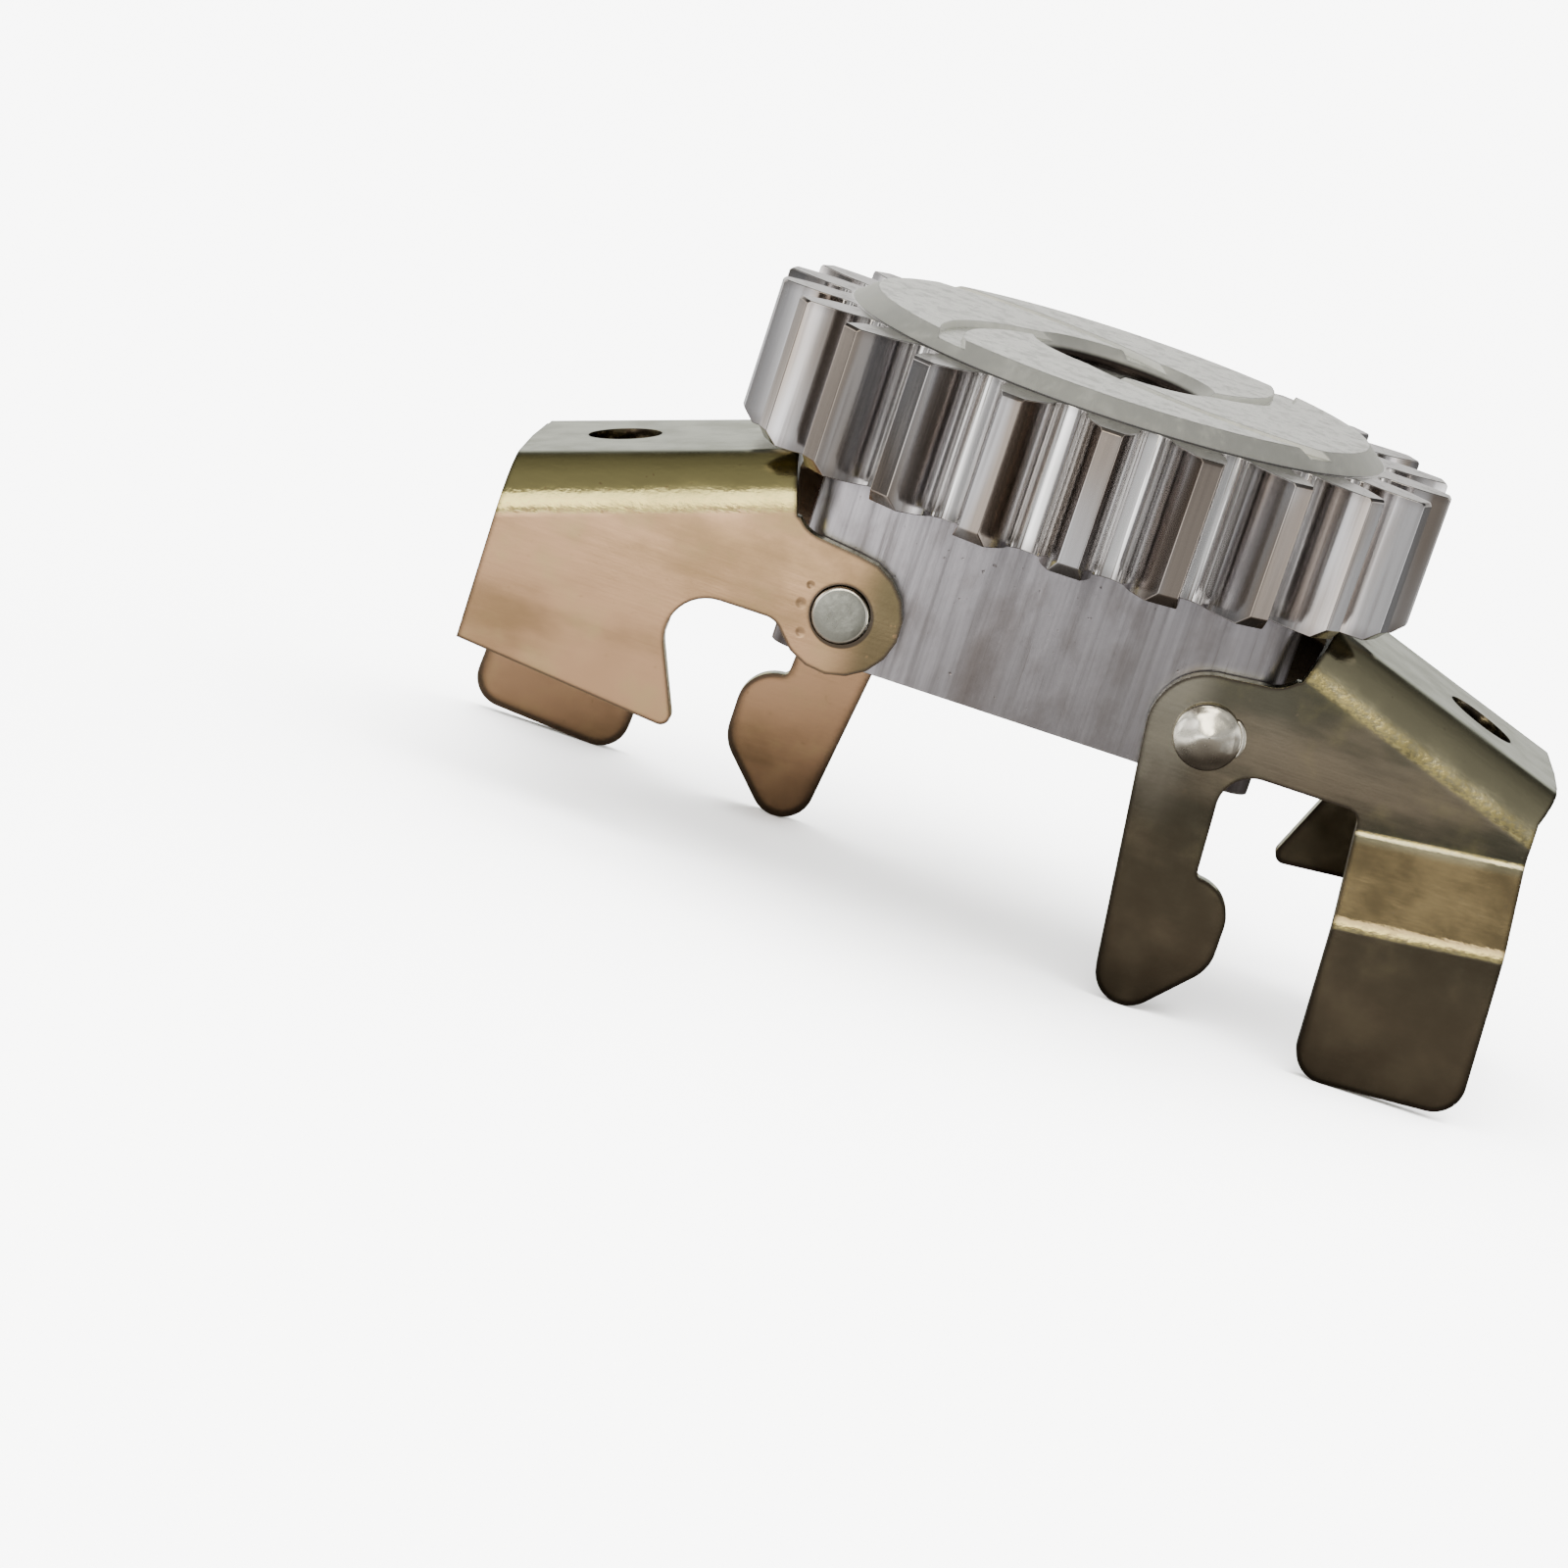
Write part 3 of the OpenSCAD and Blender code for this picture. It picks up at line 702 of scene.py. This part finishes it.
def pin_steel(look):
    """Scuffed steel, with painted shade on the flat ends and a brown painted shade low on the
    domes.
    """
    steel = Finish("pin_steel", look.roughness)
    scuff = steel.noise(0.5 * MM, detail=4)
    drawn = steel.noise(0.2 * MM, stretch=(1, 30, 1), detail=2)
    scuffed = [c * 0.45 for c in look.colour]
    colour = steel.blend(steel.ramp(scuff, 0.5, 0.8, 0.0, 0.6), look.colour, scuffed)
    # Painted shade on the flat ends.
    flat = steel.ramp(steel.math("ABSOLUTE", steel.axis(steel.normal, "Y")), 0.9985, 0.9995)
    colour = steel.blend(flat, colour, look.flat)
    # Painted shade on the domes' lower, outer side.
    from_middle = steel.math("ABSOLUTE", steel.axis(steel.place, "X"))
    outward = steel.math("SUBTRACT", from_middle, PIVOT.x)
    raised = steel.math("SUBTRACT", steel.axis(steel.place, "Z"), PIVOT.z)
    lower = steel.math("SUBTRACT", steel.product(outward, 0.5), raised)
    shaded_low_side = steel.ramp(lower, -0.2 * MM, 1.6 * MM, 0.0, 0.8)
    colour = steel.blend(steel.product(shaded_low_side, steel.opposite(flat)), colour, look.pin_shade)
    steel.bumps((scuff, 0.008 * MM), (drawn, 0.002 * MM))
    rough = steel.ramp(scuff, 0.3, 0.8, look.roughness, look.roughness + 0.15)
    return steel.done(colour, rough)


def burr_steel(bright):
    """Rougher steel in patches of the given colour and a darker one."""
    steel = Finish("burr_steel", 0.25)
    scuff = steel.noise(0.3 * MM, detail=3)
    steel.bumps((scuff, 0.01 * MM))
    return steel.done(steel.blend(scuff, bright, [c * 0.6 for c in bright]))


def turned_points(profile, centre, around=96, dent=0.0):
    """A profile of (distance along the pin, radius, dent's share) rows swept round the Y axis.

    The point at row i and angle t is centre + along(i) * Y + radius(i) * (cos t, 0, sin t);
    dent moves it along Y by a few crossed sine waves, so that a dome looks hammered.
    """
    along, radius, share = np.asarray(profile, float).T[:, :, None]
    turn = np.linspace(0, 2 * np.pi, around, endpoint=False)
    x, z = radius * np.cos(turn), radius * np.sin(turn)
    across, up = x / MM, z / MM
    wave = np.sin(2.1 * across + 1.2) * np.cos(2.6 * up - 0.4)
    wave = wave + 0.4 * np.sin(3.7 * up - 1.9 * across + 0.7) + 0.1 * np.sin(5.1 * across + up)
    y = along + share * dent * wave
    return np.stack([x, y, z], -1) + np.asarray(centre)


def arc_rows(centre, radius, start, stop, steps, share=0.0):
    """Rows along an arc in the profile's plane: centre + radius * (sin a, cos a)."""
    a = np.radians(np.linspace(start, stop, steps))
    return np.stack(
        [centre[0] + radius * np.sin(a), centre[1] + radius * np.cos(a), np.full(steps, share)], -1
    )


class GOVERNOR_OT_finish_gear(bpy.types.Operator):
    """Give the gear and its carrier block their turned, streaked and ground steel"""

    bl_idname = "governor.finish_gear"
    bl_label = "Finish the gear"

    def execute(self, context):
        look = context.scene.governor_gear_finish
        dress(GEAR, GearSteel(look).build(), look.edge)
        return {"FINISHED"}


class GOVERNOR_OT_finish_flyweights(bpy.types.Operator):
    """Give both flyweights rolled edges and their passivated plating"""

    bl_idname = "governor.finish_flyweights"
    bl_label = "Finish the flyweights"

    def execute(self, context):
        look = context.scene.governor_sheet_finish
        left_tints = (look.left_colour, look.left_dark, look.left_ear_shade, look.olive)
        # The right flyweight's tints are a shaded copy of the same plating.
        right_shaded_tints = (look.right_shaded_colour, look.right_dark, look.right_ear, look.pale_olive)
        left = PlatedSheet("left_plating", look, -1).build(left_tints, browned=0.0, nicks=NICKS)
        right = PlatedSheet("right_plating", look, 1).build(right_shaded_tints, browned=0.9)
        dress(LEFT_SHEET, left, look.edge)
        dress(RIGHT_SHEET, right, look.edge)
        return {"FINISHED"}


class GOVERNOR_OT_make_pins(bpy.types.Operator):
    """Turn both pivot pins, with hammered domes and broken flat ends"""

    bl_idname = "governor.make_pins"
    bl_label = "Make the pins"

    def execute(self, context):
        look = context.scene.governor_pin_finish
        material = pin_steel(look)
        for name, side in ((RIGHT_PIN, 1), (LEFT_PIN, -1)):
            pin = self.turn_pin(name, material, look.dent, side)
            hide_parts(name)
            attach(pin, "gear")
        return {"FINISHED"}

    @staticmethod
    def turn_pin(node_name, material, dent, side):
        """The pin's profile from its flat end to its dome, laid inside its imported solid."""
        low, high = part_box(node_name)
        length = high.y - low.y
        rim, dome_h = 0.3 * MM, 0.8 * MM
        end_r, lip_r = 0.2 * MM, 0.08 * MM
        head = length - dome_h - rim
        dome_r = (HEAD_R**2 + dome_h**2) / (2 * dome_h)
        half = np.degrees(np.arcsin(HEAD_R / dome_r))
        rows = np.vstack([
            [[0, 0.02 * MM, 0], [0, (PIN_R - end_r) * 0.6, 0]],
            arc_rows((end_r, PIN_R - end_r), end_r, -90, 0, 6),
            [[head, PIN_R, 0]],
            [[head, HEAD_R - lip_r, 0]],
            arc_rows((head + lip_r, HEAD_R - lip_r), lip_r, -90, 0, 4),
            [[head + rim * 0.8, HEAD_R, 0]],
            arc_rows((length - dome_r, 0), dome_r, 90 - half * 0.97, 89.2, 28, 1.0),
        ])
        rows[:, 2] *= np.clip((rows[:, 0] - head - rim) / rim, 0, 1)
        rows[:, 0] -= 1.7 * dent * rows[:, 2]
        # The flat end of the right pin is at the back, so its profile runs forward along -Y.
        rows[:, 0] = (high.y - rows[:, 0]) if side > 0 else (low.y + rows[:, 0])
        centre = ((low.x + high.x) / 2, 0, (low.z + high.z) / 2)
        points = turned_points(rows, centre, dent=-dent * side)
        pin = surface(node_name + "_turned", points, material, closed=True)
        if side < 0:
            pin.data.flip_normals()
        return pin


class GOVERNOR_OT_make_burrs(bpy.types.Operator):
    """Raise the thin burr that each pin's domed end has pushed up beside itself"""

    bl_idname = "governor.make_burrs"
    bl_label = "Make the burrs"

    def execute(self, context):
        material = burr_steel(context.scene.governor_pin_finish.colour)
        for name, side in (("right_pin_burr", 1), ("left_pin_burr", -1)):
            burr = surface(name, self.crescent(side), material, closed=True)
            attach(burr, "gear")
        return {"FINISHED"}

    @staticmethod
    def crescent(side, along=25, around=12):
        """A round wire bent on an arc beside the pin and thinned to nothing at both ends.

        At share s of its length and angle t round it, with w = thick * sqrt(1 - (2 s - 1)^2), the
        point is the head's rim at s, plus w * (0.7 + cos t) outward and 0.6 * w * sin t along Y.
        """
        share = np.linspace(0.01, 0.99, along)[:, None]
        t = np.linspace(0, 2 * np.pi, around, endpoint=False)[None, :]
        first_bearing, sweep, thick, off_plate = 48, 68, 0.19 * MM, 0.24 * MM
        bearing = np.radians(first_bearing - sweep * share)
        w = thick * np.sqrt(1 - (2 * share - 1) ** 2)
        radius = HEAD_R + w * (0.7 + np.cos(t))
        x = side * (PIVOT.x + radius * np.cos(bearing))
        y = -side * (PLATE_Y + off_plate + 0.6 * w * np.sin(t))
        z = PIVOT.z + radius * np.sin(bearing)
        return np.stack([x, y, z], -1)


class GOVERNOR_OT_set_stage(bpy.types.Operator):
    """Lay the pale floor, hang the soft lights and set the camera"""

    bl_idname = "governor.set_stage"
    bl_label = "Set the stage"

    def execute(self, context):
        look = context.scene.governor_studio
        self.lay_floor(look)
        self.lay_board(look)
        self.hang_lights(context, look)
        self.hang_sky(context, look)
        self.set_camera(context, look)
        return {"FINISHED"}

    @staticmethod
    def lay_sheet(name, half, count, height, material):
        """A square grid of points whose height is a function of its distance from the middle."""
        side = np.linspace(-half, half, count)
        x, y = np.meshgrid(side, side)
        sheet = surface(name, np.stack([x, y, height(np.hypot(x, y))], -1), material)
        return sheet

    def lay_floor(self, look):
        """Pale paper, flat under the gear and curving up far around it as a square of distance."""
        paper = Finish("floor_paper", 0.9, 0.0)
        paper.shader.inputs["Specular IOR Level"].default_value = 0.1
        floor = self.lay_sheet(
            "floor", 8.0, 41, lambda r: 0.3 * np.maximum(r - 1.0, 0) ** 2 - 0.02 * MM,
            paper.done(look.floor_colour),
        )
        floor.visible_glossy = floor.visible_shadow = floor.visible_diffuse = False

    def lay_board(self, look):
        """The grey board that the steel reflects: light at the left, dark near and at the right."""
        card = Finish("grey_board", 1.0, 0.0)
        card.shader.inputs["Specular IOR Level"].default_value = 0.0
        across, along = card.axis(card.place, "X"), card.axis(card.place, "Y")
        fade = card.ramp(across, -16 * MM, 3 * MM)
        tone = card.blend(fade, look.board_left, look.board_right)
        bearing = card.math("ARCTAN2", across, card.product(along, -1.0))
        turn = card.math("MULTIPLY_ADD", bearing, 0.5 / np.pi, 0.5)
        distance = card.vector("LENGTH", card.place, output="Value")
        tone = card.blend(card.ramp(distance, 95 * MM, 130 * MM), tone, card.stops(turn, ROUND))
        near = card.product(
            card.ramp(along, -52 * MM, -8 * MM, 0.0, 0.7),
            card.ramp(along, 10 * MM, 60 * MM, 1.0, 0.0),
            card.ramp(across, -34 * MM, -4 * MM, 0.1, 0.8),
            card.ramp(across, 45 * MM, 80 * MM, 1.0, 0.0),
        )
        material = card.done(card.blend(near, tone, look.board_near))
        board = self.lay_sheet("grey_board", 6.0, 5, lambda r: r * 0 - 0.01 * MM, material)
        board.visible_camera = board.visible_diffuse = board.visible_shadow = False

    @staticmethod
    def hang_lights(context, look):
        """Two wide suns light the paper alone, and a warm one in front puts glints on the metal."""
        for name, bearing, height, spread, power, glints in (
            ("left_side", -60, 62, 90, look.paper_light, False),
            ("right_side", 120, 66, 90, look.paper_light, False),
            ("front", -7, 25, 34, look.front_light, True),
        ):
            light = bpy.data.lights.new(name, "SUN")
            light.energy = power
            light.angle = np.radians(spread)
            light.color = look.glint_tint if glints else (1, 1, 1)
            lamp = bpy.data.objects.new(name, light)
            lamp.visible_glossy = glints
            b, h = np.radians(bearing), np.radians(height)
            toward = Vector((np.sin(b) * np.cos(h), -np.cos(b) * np.cos(h), np.sin(h)))
            lamp.rotation_mode = "QUATERNION"
            lamp.rotation_quaternion = toward.to_track_quat("Z", "Y")
            context.scene.collection.objects.link(lamp)

    @staticmethod
    def hang_sky(context, look):
        """The studio overhead: bright low at the back, dark above that, brighter towards the front.

        The level is a ramp over the angle of the direction's (Y, Z) part, or that of a bright wall
        low at each side where it is higher, times a slow fall from left to right.
        """
        world = bpy.data.worlds.new("studio")
        context.scene.world = world
        world.use_nodes = True
        sky = Nodes(world.node_tree)
        direction = sky.add("ShaderNodeTexCoord").outputs["Generated"]
        x, y, z = (sky.axis(direction, letter) for letter in "XYZ")
        arch = sky.stops(sky.math("DIVIDE", sky.math("ARCTAN2", z, y), np.pi), ARCH)
        wall = sky.product(sky.stops(sky.math("ABSOLUTE", x), WALL), sky.stops(z, WALL_HEIGHT))
        fall = sky.stops(sky.math("MULTIPLY_ADD", x, 0.5, 0.5), FALL)
        level = sky.product(sky.math("MAXIMUM", arch, wall), fall, look.sky_light)
        glow = sky.add("ShaderNodeBackground")
        sky.feed(glow.inputs["Color"], look.sky_tint)
        sky.feed(glow.inputs["Strength"], level)
        out = sky.add("ShaderNodeOutputWorld")
        sky.feed(out.inputs["Surface"], glow.outputs[0])

    @staticmethod
    def set_camera(context, look):
        """The camera looks at the target from its bearing and height, turned by the roll."""
        target = Vector((look.target_x, 0, look.target_z))
        a, e = look.azimuth, look.elevation
        back = Vector((np.sin(a) * np.cos(e), -np.cos(a) * np.cos(e), np.sin(e)))
        level = Vector((np.cos(a), np.sin(a), 0))
        up = back.cross(level)
        right = np.cos(look.roll) * level + np.sin(look.roll) * up
        top = np.cos(look.roll) * up - np.sin(look.roll) * level
        data = bpy.data.cameras.new("camera")
        data.sensor_width = 36
        data.lens = look.lens
        data.clip_start, data.clip_end = 0.01, 50
        camera = bpy.data.objects.new("camera", data)
        turn = Matrix((right, top, back)).transposed()
        camera.matrix_world = Matrix.Translation(target + look.distance * back) @ turn.to_4x4()
        context.scene.collection.objects.link(camera)
        context.scene.camera = camera


class GOVERNOR_PT_panel(bpy.types.Panel):
    """Lists the steps and their sizes and colours"""

    bl_idname = "GOVERNOR_PT_panel"
    bl_label = "Governor gear"
    bl_space_type = "VIEW_3D"
    bl_region_type = "UI"
    bl_category = "Governor"

    def draw(self, context):
        for operator in OPERATORS:
            self.layout.operator(operator.bl_idname)
        for name, group in GROUPS.items():
            column = self.layout.column()
            for key in group.__annotations__:
                column.prop(getattr(context.scene, name), key)


OPERATORS = (
    GOVERNOR_OT_finish_gear,
    GOVERNOR_OT_finish_flyweights,
    GOVERNOR_OT_make_pins,
    GOVERNOR_OT_make_burrs,
    GOVERNOR_OT_set_stage,
)
CLASSES = (*GROUPS.values(), *OPERATORS, GOVERNOR_PT_panel)


def register():
    for item in CLASSES:
        bpy.utils.register_class(item)
    for name, group in GROUPS.items():
        setattr(bpy.types.Scene, name, bpy.props.PointerProperty(type=group))


def unregister():
    for name in GROUPS:
        delattr(bpy.types.Scene, name)
    for item in reversed(CLASSES):
        bpy.utils.unregister_class(item)


def main():
    register()
    bpy.ops.governor.finish_gear()
    bpy.ops.governor.finish_flyweights()
    bpy.ops.governor.make_pins()
    bpy.ops.governor.make_burrs()
    bpy.ops.governor.set_stage()


if __name__ == "__main__":
    main()
